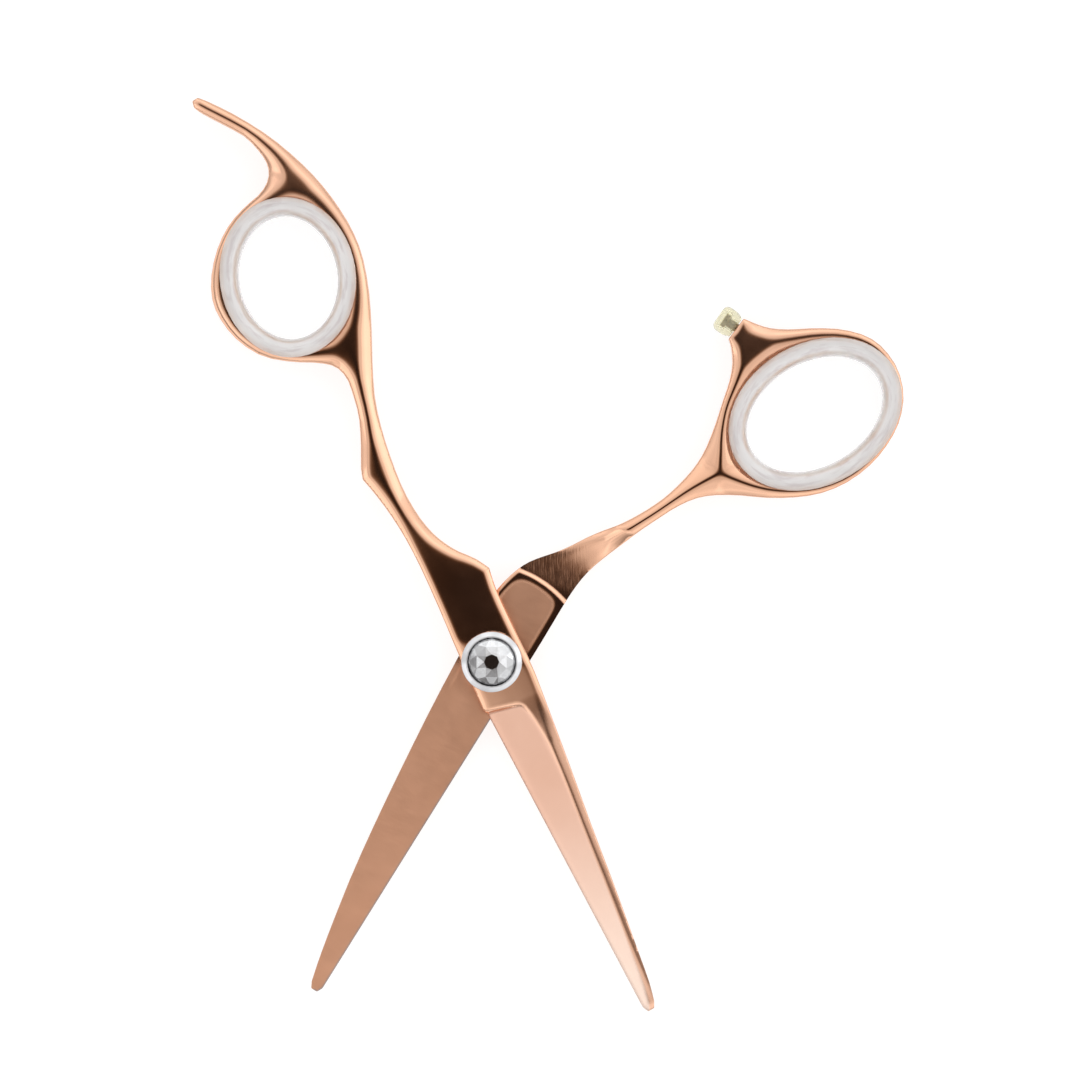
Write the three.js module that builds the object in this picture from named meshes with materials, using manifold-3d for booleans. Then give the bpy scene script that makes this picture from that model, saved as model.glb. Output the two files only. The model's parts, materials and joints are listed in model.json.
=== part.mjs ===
// Hair cutting shears, lying flat and open. Two steel halves cross at a pivot: the upper one carries the
// finger ring and the finger rest, the lower one the thumb ring and the bumper. A jewelled screw sets the
// blade tension.
//
// Millimetres. +Z is up, along the pivot. The blade tips point to -Y and the rings to +Y. The origin is on
// the pivot axis, on the surface that the shears lie on.
//
// Each half is drawn in a frame of its own: pivot at the origin, blade along -Y, outer face up (+Z),
// cutting edge on the -X side, and the plane in which the two blades slide at Z = 0. The thumb half is then
// turned over.
import * as THREE from "three";
import { ConvexGeometry } from "three/addons/geometries/ConvexGeometry.js";
import { mergeVertices } from "three/addons/utils/BufferGeometryUtils.js";
import Module from "manifold-3d";

const wasm = await Module();
wasm.setup();

// ---- driving dimensions ----
const FINGER_TURN = THREE.MathUtils.degToRad(24.5); // of each half from its closed place
const THUMB_TURN = THREE.MathUtils.degToRad(-28);
const REST_HEIGHT = 3.5; // of the sliding plane above the table

const RIDE_GAP = 0.06; // from the sliding plane to each blade's flat
const PLATE_TOP = 3; // outer face at the pivot
const HANDLE_HALF = 2.5; // half the thickness of shank, ring and finger rest
const EDGE_ROUND = 0.5; // how far the handle's rounded edges reach in
const EDGE_DROP = 1.1; // and how far they drop
const PLATE_END = 12; // where the pivot plate starts to run down into the shank
const COVE_START = 14.6; // where the inner face leaves the sliding plane
const COVE_END = 29;
const COVE_RELIEF = 0.3; // how far the inner face stands back where the hollow sweep starts
const COVE_POWER = 2.6; // how late the sweep turns down
const PLATE_FOOT = 1.1; // height, inside the handle, that the plate's top runs down to

const HEEL = -7.4; // where the ground blade face starts
const EDGE_THICK = 0.3; // blade thickness left along the cutting edge
const GRIND_SLOPE = Math.atan2(2.1, 6.4); // of the outer blade face, down towards the edge
const BLADE_LENGTH = 52; // from the heel to the tip
const FINGER_EDGE = [-4.05, -1]; // x of the cutting edge at the heel and at the tip
const THUMB_EDGE = [-4.15, -0.55];

const RING_SIDES = 48;
const INSERT_HALF = 3.5;
const FLANGE_REACH = 1.05; // of an insert's flange over the steel ring
const INSERT_WALL = 1.9;
const INSERT_ROUND = 0.35;
const GAP = 0.08; // between fixed neighbours
const RUNNING_GAP = 0.06; // between parts that turn on each other

// Sizes that reach past the object, for cutting tools.
const PAST = { tip: -70, rest: 110, above: 10, below: -1, wide: 200, groove: 2 };

const SCREW = { headR: 3.5, headLow: 3.3, headTop: 3.75, neckR: 2, neckEnd: 0.2, chamfer: 0.3, end: -2.4 };
const THREAD = { r: 1.75, rootR: 1.53, pitch: 0.5, land: 0.16, flank: 0.34 }; // land and flank in pitches
const BEZEL = { outerR: 4.75, innerR: 4.05, low: 3.3, floor: 4.0, top: 5.25, chamfer: 0.3 };
const BEZEL_RIM = [[0, 0.35], [0.12, 0.1], [0.4, 0]]; // [in from the outer radius, down from the top]
const BEZEL_LIP = [[0.1, 0.05], [0, 0.2]]; // [out from the inner radius, down from the top]
const STONE = {
  backR: 3.85, back: 4.22, girdleR: 3.95, girdleLow: 4.34, girdle: 4.75,
  starR: 2.7, star: 5.5, tableR: 1.25, table: 5.85,
};
const FOIL = { r: 3.8, low: 4.08, high: 4.14 };
const BUSH = { outerR: 2.6, flangeR: 3.6, flangeThick: 0.3, top: 2.25 };
const SEAT = { r: 4.45, floor: 2.35 }; // recess under the screw head
const WASHER = { innerR: 2.3, outerR: 4.2, low: 2.4, high: 2.62 };
const SPRING = { innerR: 2.5, outerR: 4.1, mid: 2.96, thick: 0.2, wave: 0.16, waves: 3 };
const NUT = {
  flangeR: 4.2, flangeTop: -2.7, chamfer: 0.25,
  hubR: 3.1, hubFlat: 2.4, hubRoot: -2.9, hubTop: -0.35, boreEnd: -2.65,
};
const SPANNER_HOLE = { r: 0.45, x: 2.6, depth: 0.5 }; // two, in the nut's underside

const FINGER_RING = { x: -4.1, y: 68.25, a: 9.65, b: 11.6, turn: THREE.MathUtils.degToRad(-16) };
const THUMB_RING = { x: -26.6, y: 58.2, a: 13.35, b: 10.05, turn: THREE.MathUtils.degToRad(-58.4) };
const BOSS = { x: -9.25, y: 64.4, turn: THREE.MathUtils.degToRad(8.8) }; // where the bumper seats
const BUMPER = { r: 2.15, length: 3.3, round: 0.7 };
const STUD = { r: 0.7, headR: 1.1, headLength: 0.7, inBumper: 2.3, inBoss: 2.4 };

const TURNED_SIDES = 32;
const FINE_SIDES = 48;
const SMALL_SIDES = 24;
const HOLE_SIDES = 16;
const KEY_SEGMENTS = 10; // in each arc of the nut's keyed shape

// ---- materials ----
const material = (color, roughness, metalness, extra = {}) =>
  new THREE.MeshStandardMaterial({ color, roughness, metalness, ...extra });
const roseSteel = material(0xd9976f, 0.22, 1);
const silver = material(0xd8d8dc, 0.25, 1);
const springSteel = material(0x9a9ca0, 0.35, 1);
const brass = material(0xc9a04c, 0.35, 1);
const nylon = material(0xf0efe8, 0.5, 0);
const clearSilicone = material(0xe6e4e6, 0.25, 0, { transparent: true, opacity: 0.6 });
const clearBumper = material(0xe3dfae, 0.2, 0, { transparent: true, opacity: 0.7 });
const stoneGlass = material(0xf4f6fa, 0.02, 0, { transparent: true, opacity: 0.5 });
const mirrorFoil = material(0xcfd2d6, 0.08, 1);

// ---- solids ----
function solidOf(geometry) {
  const bare = geometry.index ? geometry.toNonIndexed() : geometry.clone();
  bare.deleteAttribute("normal");
  bare.deleteAttribute("uv");
  const merged = mergeVertices(bare, 1e-4);
  return new wasm.Manifold(
    new wasm.Mesh({
      numProp: 3,
      vertProperties: merged.attributes.position.array,
      triVerts: new Uint32Array(merged.index.array),
    }),
  );
}

function geometryOf(solid) {
  const { vertProperties, triVerts } = solid.getMesh();
  const geometry = new THREE.BufferGeometry();
  geometry.setAttribute("position", new THREE.BufferAttribute(vertProperties, 3));
  geometry.setIndex(new THREE.BufferAttribute(triVerts, 1));
  geometry.computeVertexNormals();
  return geometry;
}

const points = (list) => list.map(([x, y]) => new THREE.Vector2(x, y));

// A closed outline made of smooth runs, after a start point. Each run goes on from the last point of the
// one before, so runs meet in a corner. A run of one point is a straight line to it, and so is the way back
// to the start.
function outlineOf(runs) {
  const [[start], ...rest] = runs;
  const shape = new THREE.Shape().moveTo(...start);
  for (const run of rest) {
    if (run.length > 1) shape.splineThru(points(run));
    else shape.lineTo(...run[0]);
  }
  return shape;
}

// A prism from z low to z high, with optional rounded edges that keep the outline's full size.
function prism(shape, low, high, { round = 0, drop = 0, steps = 2, curveSegments = 2 } = {}) {
  const geometry = new THREE.ExtrudeGeometry(shape, {
    depth: high - low - 2 * drop,
    bevelEnabled: round > 0,
    bevelSize: round,
    bevelOffset: -round,
    bevelThickness: drop,
    bevelSegments: steps,
    curveSegments,
  });
  return geometry.translate(0, 0, low + drop);
}

// A prism across the half, from a side outline of [y, z] points.
function sideCut(outline) {
  const geometry = new THREE.ExtrudeGeometry(new THREE.Shape(points(outline)), {
    depth: PAST.wide,
    bevelEnabled: false,
  });
  const across = new THREE.Matrix4().makeBasis(
    new THREE.Vector3(0, 1, 0),
    new THREE.Vector3(0, 0, 1),
    new THREE.Vector3(1, 0, 0),
  );
  return solidOf(geometry.applyMatrix4(across).translate(-PAST.wide / 2, 0, 0));
}

// A turned solid about Z, from a closed [radius, z] outline that runs upwards on its outer side.
function turned(outline, sides = TURNED_SIDES) {
  return new THREE.LatheGeometry(points([...outline, outline[0]]), sides).rotateX(Math.PI / 2);
}

const disc = (r, low, high, sides) => turned([[0, low], [r, low], [r, high], [0, high]], sides);
const tube = (inner, outer, low, high, sides) =>
  turned([[inner, low], [outer, low], [outer, high], [inner, high]], sides);

function ellipse({ x, y, a, b, turn }, grow = 0) {
  const curve = new THREE.EllipseCurve(x, y, a + grow, b + grow, 0, 2 * Math.PI, false, turn);
  return new THREE.Shape(curve.getPoints(RING_SIDES).slice(1));
}

// ---- the two steel halves ----
const FINGER_OUTLINE = [
  [[-0.9, -59.5]],
  [[-0.45, -60.35]],
  [[0.65, -60.25]],
  [[1.1, -59.2]],
  [
    [1.65, -56], [2.15, -50], [2.95, -40], [3.6, -30], [4.4, -20], [5.1, -10], [5.5, -3],
    [5.35, 4], [5.35, 10], [5.75, 13.6],
  ],
  [
    [4.3, 15.9], [2.3, 18.1], [0.9, 20.2], [-0.2, 22.6], [-1.05, 26], [-1.45, 30.5], [-1.2, 35.5],
    [-0.6, 40.5], [0.5, 45.5], [2.4, 50.6], [4.6, 55.8], [6.6, 61.2], [7.9, 66.5], [8.15, 71],
    [7.6, 75.6], [6.5, 80.2], [4.7, 85], [2.2, 90], [-1, 94.8], [-4, 98.5], [-5.3, 99.8],
  ],
  [[-6.3, 99.7]],
  [[-6.5, 98.7]],
  [
    [-5.6, 97.2], [-3.2, 94.1], [-1.1, 91.2], [0, 88], [0.25, 85.6], [-0.6, 83.6], [-2.6, 82.1],
    [-5.8, 81.1], [-9.1, 79.6], [-12.2, 77.1], [-14.9, 73.6], [-16.4, 70], [-16.5, 66.5], [-15.4, 62.5],
    [-13, 58.8], [-9.3, 56.1], [-5.4, 54.1], [-3.2, 52.4], [-2.3, 50], [-2.5, 47], [-3.1, 43.6],
    [-4.5, 39.8], [-6.1, 36.2], [-6.6, 34.4],
  ],
  [[-5.9, 32], [-5, 28], [-4.35, 23.5], [-4.05, 18], [-4.1, 10], [-4.3, 3], [-4.3, -6.4]],
  [[-3.95, HEEL]],
  [[-4, -14], [-3.9, -23], [-3.6, -31], [-3.05, -40], [-2.2, -50], [-1.5, -55.3]],
];
const THUMB_OUTLINE = [
  [[-0.6, -58]],
  [[-0.1, -58.85]],
  [[0.95, -58.8]],
  [[1.4, -57.8]],
  [
    [1.9, -55], [2.6, -50], [3.7, -40], [4.35, -30], [4.75, -20], [5, -10], [5, 0], [4.9, 8], [4.3, 11.6],
    [3.4, 14.3], [2.3, 16.4], [0.8, 18.2], [-0.9, 20], [-2.5, 22], [-4.1, 24.3], [-5.7, 26.3], [-7.4, 28.2],
    [-9, 30.4], [-10.6, 33], [-12, 35.8], [-13.1, 39], [-13.8, 42], [-14, 45], [-13.6, 49], [-12.9, 53],
    [-12.3, 56.5], [-11.4, 59.2], [-10, 61.4], [-9.05, 62.3],
  ],
  [[-9.65, 66.2]],
  [
    [-11.8, 66.4], [-14.2, 66.9], [-17, 68.2], [-20.2, 70.1], [-24, 71.9], [-28, 72.8], [-31.4, 72.3],
    [-34.9, 70.4], [-37.5, 67.3], [-38.8, 63.5], [-38.9, 59.6], [-38.1, 55.5], [-36.2, 51.3], [-33.4, 47.8],
    [-30, 45.2], [-26, 43], [-22, 41.3], [-18.6, 39.5], [-16.2, 37.6], [-14.2, 35], [-12.5, 32],
    [-10.9, 29], [-9.5, 26], [-8.1, 23], [-6.9, 20], [-6.2, 17], [-5.8, 13], [-5.5, 7], [-5.1, 1],
    [-4.5, -6.4],
  ],
  [[-4.1, HEEL]],
  [[-3.85, -14], [-3.45, -22], [-2.95, -30], [-2.3, -40], [-1.55, -50], [-1, -55]],
];

// The inner face seen from the side, past the sliding flat: a hollow sweep out to the handle's full depth.
function coveProfile(steps = 10) {
  const drop = HANDLE_HALF + EDGE_DROP;
  return Array.from({ length: steps + 1 }, (_, i) => {
    const t = i / steps;
    return [COVE_START + t * (COVE_END - COVE_START), COVE_RELIEF - drop * t ** COVE_POWER];
  });
}

// The handle is a prism with rounded edges, and the pivot plate and blade a thicker one that runs down into
// it.
function halfBody(runs, ring) {
  const shape = outlineOf(runs);
  shape.holes.push(ellipse(ring));
  const handleSide = sideCut([
    [PAST.tip, RIDE_GAP], [COVE_START, RIDE_GAP], ...coveProfile(),
    [PAST.rest, -HANDLE_HALF - EDGE_DROP], [PAST.rest, PAST.above], [PAST.tip, PAST.above],
  ]);
  const plateSide = sideCut([
    [PAST.tip, PAST.below], [COVE_END, PAST.below], [COVE_END, PLATE_FOOT],
    [PLATE_END, PLATE_TOP], [PAST.tip, PLATE_TOP],
  ]);
  const rounded = { round: EDGE_ROUND, drop: EDGE_DROP };
  const handle = solidOf(prism(shape, -HANDLE_HALF, HANDLE_HALF, rounded));
  const plate = solidOf(prism(shape, -HANDLE_HALF, PLATE_TOP, rounded)).intersect(plateSide);
  return handle.add(plate).intersect(handleSide);
}

// A block whose lower face is the ground outer face of the blade.
function grindBlock([edgeX, tipX]) {
  const [wide, long, high] = [20, BLADE_LENGTH + 8, PAST.above];
  const block = new THREE.BoxGeometry(wide, long, high).translate(wide / 2, -long / 2, high / 2);
  block.rotateY(-GRIND_SLOPE);
  block.rotateZ(Math.atan2(tipX - edgeX, BLADE_LENGTH));
  return solidOf(block.translate(edgeX, HEEL, EDGE_THICK));
}

function fingerHalf() {
  const flangeHigh = RIDE_GAP + BUSH.flangeThick + 2 * GAP;
  return halfBody(FINGER_OUTLINE, FINGER_RING)
    .subtract(grindBlock(FINGER_EDGE))
    .subtract(solidOf(disc(SEAT.r, SEAT.floor, PAST.above)))
    .subtract(solidOf(disc(BUSH.outerR + GAP, PAST.below, PAST.above)))
    .subtract(solidOf(disc(BUSH.flangeR + GAP, PAST.below, flangeHigh)));
}

// A circle with two flats, which stops the nut turning in the half.
function keyedShape(grow) {
  const r = NUT.hubR + grow;
  const flat = NUT.hubFlat + grow;
  const angle = Math.acos(flat / r);
  const shape = new THREE.Shape();
  shape.absarc(0, 0, r, angle, Math.PI - angle, false);
  shape.absarc(0, 0, r, Math.PI + angle, 2 * Math.PI - angle, false);
  shape.closePath();
  return shape;
}

// Places a geometry drawn along +X at the bumper's seat, pointing away from the half.
const atBoss = (geometry) => geometry.rotateZ(BOSS.turn).translate(BOSS.x, BOSS.y, 0);
const alongX = (geometry) => geometry.rotateY(Math.PI / 2);

function thumbHalf() {
  const keyHole = prism(keyedShape(GAP), PAST.below, PAST.above, { curveSegments: KEY_SEGMENTS });
  const studHole = alongX(disc(STUD.r + GAP, -STUD.inBoss - 2 * GAP, BUMPER.length, SMALL_SIDES));
  return halfBody(THUMB_OUTLINE, THUMB_RING)
    .subtract(grindBlock(THUMB_EDGE))
    .subtract(solidOf(disc(NUT.flangeR + GAP, -NUT.flangeTop - GAP, PAST.above)))
    .subtract(solidOf(keyHole))
    .subtract(solidOf(atBoss(studHole)));
}

// ---- soft parts ----
// A push-in ring: a sleeve inside the steel ring, with a flange over each of its faces.
function ringInsert(ring) {
  const shape = ellipse(ring, FLANGE_REACH);
  shape.holes.push(ellipse(ring, -INSERT_WALL));
  const groove = ellipse(ring, FLANGE_REACH + PAST.groove);
  groove.holes.push(ellipse(ring, -GAP));
  const rounded = { round: INSERT_ROUND, drop: INSERT_ROUND };
  const body = solidOf(prism(shape, -INSERT_HALF, INSERT_HALF, rounded));
  return body.subtract(solidOf(prism(groove, -HANDLE_HALF - GAP, HANDLE_HALF + GAP)));
}

// A barrel along +Z with rounded rims, hollow for its stud.
function bumper() {
  const { r, length, round } = BUMPER;
  const quarterTurn = [0, 30, 60, 90].map(THREE.MathUtils.degToRad);
  const rim = (z, from) =>
    quarterTurn.map((step) => [
      r - round + round * Math.cos(from + step),
      z + round * Math.sin(from + step),
    ]);
  const outline = [[0, 0], ...rim(round, -Math.PI / 2), ...rim(length - round, 0), [0, length]];
  const headLow = STUD.inBumper - STUD.headLength;
  const neck = disc(STUD.r + GAP, PAST.below, STUD.inBumper, SMALL_SIDES);
  const head = disc(STUD.headR + GAP, headLow - GAP, STUD.inBumper + GAP, SMALL_SIDES);
  return solidOf(turned(outline, SMALL_SIDES)).subtract(solidOf(neck).add(solidOf(head)));
}

function bumperStud() {
  const { r, headR, headLength, inBumper, inBoss } = STUD;
  const neck = inBumper - headLength;
  return turned([
    [0, -inBoss], [r, -inBoss], [r, neck], [headR, neck], [headR, inBumper], [0, inBumper],
  ], SMALL_SIDES);
}

// ---- pivot hardware ----
// The thread is a stack of ridges at the real pitch.
function tensionScrew() {
  const { headR, headLow, headTop, neckR, neckEnd, chamfer, end } = SCREW;
  const { r, rootR, pitch, land, flank } = THREAD;
  const ridge = [
    [rootR, land / 2],
    [r, land / 2 + flank],
    [r, land * 1.5 + flank],
    [rootR, land * 1.5 + 2 * flank],
  ];
  const ridges = Math.floor((neckEnd - end) / pitch);
  const thread = Array.from({ length: ridges }, (_, i) =>
    ridge.map(([radius, turn]) => [radius, end + (i + turn) * pitch]),
  );
  return turned([
    [0, end], ...thread.flat(), [neckR - chamfer, neckEnd], [neckR, neckEnd + chamfer],
    [neckR, headLow], [headR, headLow], [headR, headTop], [0, headTop],
  ]);
}

function bezel() {
  const { outerR, innerR, low, floor, top, chamfer } = BEZEL;
  const bore = SCREW.headR + GAP;
  return turned([
    [bore, low], [outerR - chamfer, low], [outerR, low + chamfer],
    ...BEZEL_RIM.map(([inward, down]) => [outerR - inward, top - down]),
    ...BEZEL_LIP.map(([outward, down]) => [innerR + outward, top - down]),
    [innerR, floor], [0, floor], [0, SCREW.headTop + GAP], [bore, SCREW.headTop + GAP],
  ], FINE_SIDES);
}

// A flat-backed round stone: table, eight star facets, eight kites and a girdle.
function crystal() {
  const ring = (count, r, z, shift = 0) =>
    Array.from({ length: count }, (_, i) => {
      const angle = ((i + shift) / count) * 2 * Math.PI;
      return new THREE.Vector3(r * Math.cos(angle), r * Math.sin(angle), z);
    });
  return new ConvexGeometry([
    ...ring(16, STONE.backR, STONE.back),
    ...ring(16, STONE.girdleR, STONE.girdleLow),
    ...ring(16, STONE.girdleR, STONE.girdle),
    ...ring(8, STONE.starR, STONE.star, 0.5),
    ...ring(8, STONE.tableR, STONE.table),
  ]);
}

function waveSpring() {
  const { innerR, outerR, mid, thick, wave, waves } = SPRING;
  const geometry = tube(innerR, outerR, mid - thick / 2, mid + thick / 2, FINE_SIDES);
  const place = geometry.attributes.position;
  for (let i = 0; i < place.count; i++) {
    const angle = Math.atan2(place.getY(i), place.getX(i));
    place.setZ(i, place.getZ(i) + wave * Math.sin(waves * angle));
  }
  return geometry;
}

function pivotBush() {
  const low = RIDE_GAP + GAP;
  const { outerR, flangeR, flangeThick, top } = BUSH;
  const innerR = SCREW.neckR + RUNNING_GAP;
  const step = low + flangeThick;
  return turned([
    [innerR, low], [flangeR, low], [flangeR, step], [outerR, step], [outerR, top], [innerR, top],
  ]);
}

function backNut() {
  const { flangeR, flangeTop, chamfer, hubRoot, hubTop, boreEnd } = NUT;
  const flange = turned([
    [0, -REST_HEIGHT], [flangeR - chamfer, -REST_HEIGHT], [flangeR, -REST_HEIGHT + chamfer],
    [flangeR, flangeTop], [0, flangeTop],
  ]);
  const hub = prism(keyedShape(0), hubRoot, hubTop, { curveSegments: KEY_SEGMENTS });
  const spannerHole = (x) => {
    const { r, depth } = SPANNER_HOLE;
    const cutter = disc(r, -REST_HEIGHT + PAST.below, -REST_HEIGHT + depth, HOLE_SIDES);
    return solidOf(cutter.translate(x, 0, 0));
  };
  return solidOf(flange)
    .add(solidOf(hub))
    .subtract(solidOf(disc(THREAD.r + RUNNING_GAP, boreEnd, PAST.above)))
    .subtract(spannerHole(SPANNER_HOLE.x))
    .subtract(spannerHole(-SPANNER_HOLE.x));
}

// ---- assembly ----
function piece(name, shape, look) {
  const mesh = new THREE.Mesh(shape.isBufferGeometry ? shape : geometryOf(shape), look);
  mesh.name = name;
  return mesh;
}

const bumperPlace = (shape) => atBoss(alongX(shape.isBufferGeometry ? shape : geometryOf(shape)));

const fingerSide = new THREE.Group();
fingerSide.rotation.z = FINGER_TURN;
fingerSide.add(
  piece("finger_half", fingerHalf(), roseSteel),
  piece("finger_ring_insert", ringInsert(FINGER_RING), clearSilicone),
  piece("pivot_bush", pivotBush(), brass),
  piece("thrust_washer", tube(WASHER.innerR, WASHER.outerR, WASHER.low, WASHER.high), nylon),
);

const thumbSide = new THREE.Group();
thumbSide.rotation.z = THUMB_TURN;
const turnedOver = new THREE.Group();
turnedOver.rotation.y = Math.PI;
turnedOver.add(
  piece("thumb_half", thumbHalf(), roseSteel),
  piece("thumb_ring_insert", ringInsert(THUMB_RING), clearSilicone),
  piece("bumper", bumperPlace(bumper()), clearBumper),
  piece("bumper_stud", bumperPlace(bumperStud()), springSteel),
);
thumbSide.add(turnedOver, piece("back_nut", backNut(), roseSteel));

const jewelledScrew = new THREE.Group();
jewelledScrew.add(
  piece("tension_screw", tensionScrew(), silver),
  piece("bezel", bezel(), silver),
  piece("crystal_foil", disc(FOIL.r, FOIL.low, FOIL.high), mirrorFoil),
  piece("crystal", crystal(), stoneGlass),
  piece("wave_spring", waveSpring(), springSteel),
);

const shears = new THREE.Group();
shears.position.z = REST_HEIGHT;
shears.add(fingerSide, thumbSide, jewelledScrew);

export default shears;
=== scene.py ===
import json
import math
import random

import bmesh
import bpy
import numpy as np
from mathutils import Matrix, Vector
from mathutils.kdtree import KDTree


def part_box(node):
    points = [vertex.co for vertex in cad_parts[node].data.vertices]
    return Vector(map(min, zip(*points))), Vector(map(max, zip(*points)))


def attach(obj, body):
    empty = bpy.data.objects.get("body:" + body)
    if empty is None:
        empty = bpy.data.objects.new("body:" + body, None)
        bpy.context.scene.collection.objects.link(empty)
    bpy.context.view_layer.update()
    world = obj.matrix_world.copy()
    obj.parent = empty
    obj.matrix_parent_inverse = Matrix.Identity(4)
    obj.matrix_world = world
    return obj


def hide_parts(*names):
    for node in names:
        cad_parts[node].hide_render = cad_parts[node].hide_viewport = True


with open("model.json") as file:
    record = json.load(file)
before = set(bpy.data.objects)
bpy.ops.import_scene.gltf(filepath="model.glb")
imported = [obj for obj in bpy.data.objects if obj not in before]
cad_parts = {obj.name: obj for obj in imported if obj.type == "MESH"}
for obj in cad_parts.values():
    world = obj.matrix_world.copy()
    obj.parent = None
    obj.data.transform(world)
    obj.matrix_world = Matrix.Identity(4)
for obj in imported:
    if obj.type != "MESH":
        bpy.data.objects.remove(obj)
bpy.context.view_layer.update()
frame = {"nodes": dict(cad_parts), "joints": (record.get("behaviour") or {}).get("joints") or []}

MM = 0.001

# ---- camera ----
VIEW_CENTRE = (7.58 * MM, 19.12 * MM)
VIEW_WIDTH = 170.6 * MM
CAMERA_HEIGHT = 1.1
SENSOR = 36.0

camera_data = bpy.data.cameras.new("camera")
camera_data.sensor_width = SENSOR
camera_data.lens = SENSOR * CAMERA_HEIGHT / VIEW_WIDTH
camera_data.clip_start = 0.01
camera = bpy.data.objects.new("camera", camera_data)
camera.location = (*VIEW_CENTRE, CAMERA_HEIGHT)
bpy.context.scene.collection.objects.link(camera)
bpy.context.scene.camera = camera

# ---- places, from the frame ----
PIVOT_Z = next(j for j in frame["joints"] if j["name"] == "pivot")["pos_m"][2]
FINGER_TURN, THUMB_TURN = math.radians(24.5), math.radians(-28)  # of each half, from -Y, seen from above
TO_PIVOT = Matrix.Translation((0, 0, PIVOT_Z))
FINGER_FRAME = TO_PIVOT @ Matrix.Rotation(FINGER_TURN, 4, "Z")
THUMB_FRAME = TO_PIVOT @ Matrix.Rotation(THUMB_TURN, 4, "Z") @ Matrix.Rotation(math.pi, 4, "Y")

# ---- shape of the halves, in millimetres ----
STEP = 0.2  # of the surface grid
OUTLINE_LEVEL, BORE_LEVEL = 0.31, 1.5  # heights at which the CAD outline and the pivot bore are read
RIDE = 0.06  # of the inner faces, above the sliding plane
PLATE, HANDLE = 3.0, 2.5  # height of the outer face round the pivot, and of the handle's faces
PLATE_END, PLATE_FADE = 12.0, 20.0  # where the plate starts to thin down to the handle, and over what length
SHARP_RIM = math.radians(84)

BEVEL_FALL, BEVEL_POWER = 0.42, 1.65  # drop of a rounded edge, as a share of its width, and how it curves
CREASE_POWER = 1.25  # for edges whose bevels meet in a crisp line
CROWN, CROWN_REACH, CROWN_LEFT = 0.2, 4.5, 0.35  # doming of the handle's faces, and its share on the plate

# In front of the screw the plate tilts: from a line through one point, falling one way.
TILT_START, TILT_WAY, TILT_SLOPE, TILT_SOFT, TILT_REACH = (-4.3, 6.2), (-7.7, -8.2), 0.118, 0.6, 10

# The ground face of the blade rises from the cutting edge, at one slope by the heel and another at the tip.
GRIND_RISE, TIP_RISE, GRIND_SPAN = 0.3, 0.42, (12, 62)
EDGE_LEFT, EDGE_ROUND, EDGE_SOFT = 0.12, 0.18, 0.3  # thickness left at the cutting edge, and its rounding

# The heel is the line across the blade where the ground face starts. It bends down at its right end.
HEEL = -7.4
HEEL_LEFT, HEEL_SLOPE, HEEL_BEND_AT, HEEL_BEND = (-4.3, -6.9), -0.21, 0.9, 0.45
CHAMFER_SLOPE, HEEL_CHAMFER, PLATE_CHAMFER = 0.36, 0.45, 0.4

# The strip left between the ground face and the spine: it leans up to the spine and rises towards the plate.
STRIP_TIP_Y, STRIP_TIP, STRIP_GROWTH, STRIP_MOST = -60, 0.75, 0.02, 4.2
FLARE, FLARE_AT, FLARE_SOFT = 1.5, -9.4, 4.5
STRIP_LEAN, STRIP_RISE, STRIP_RISE_AT, STRIP_RISE_SOFT = 0.1, 0.45, -8, 9
STRIP_OVER_PLATE = 0.6  # the most that the strip may stand over the plate's face
SPINE_ROUND, SPINE_FALL, SPINE_FALL_LESS, SPINE_SPAN = 1.5, 0.26, 0.13, (28, 56)
BLADE_START, BLADE_FULL = -6.0, -15.5  # the plate turns into the blade's strip between these

# On the inner face the handle side is cut back by a cove, and a shallow hollow surrounds the pivot.
COVE_START, COVE_END, COVE_RELIEF, COVE_POWER = 14.6, 28.0, 0.3, 3.1
HOLLOW_DEPTH, HOLLOW_EDGE, HOLLOW_SPAN, HOLLOW_CORNER = 0.07, (0.85, 1.35), (-9, -3), 1.6

LEAST_THICKNESS = 0.03
SEAT_R, SEAT_FLOOR = 4.45, 2.35  # recess for the screw's washers
NUT_R, NUT_FLOOR = 4.28, 2.62  # recess for the back nut
BUSH_R, BUSH_CEILING = 3.68, 0.52  # recess for the bush's flange
STUD_BORE_R, STUD_BORE_REACH = 0.95, 5  # the stud's bore is left out of the thumb half's outline

# How satin each surface is, where 0 is polished and 1 is ground, and over what stretch it sets in.
STRIP_SATIN, STRIP_SATIN_SPAN = 0.45, (6, 13)
RING_SATIN, RING_SATIN_SPAN = 0.17, (54, 66)
HOLLOW_SATIN, BLADE_SATIN, TIP_SATIN, BLADE_SATIN_SPAN = 0.76, 0.86, 1.0, (2, 55)
SHEEN_MOST, SHEEN_SPAN = 0.6, (18, 60)  # painted highlight: the ground face is painted paler towards its tip, for the brighter light it mirrors there
BARE_WIDTH, BARE_OUTSIDE = 0.22, 0.15  # bare steel along the cutting edge, and its share on the outer face


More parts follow.
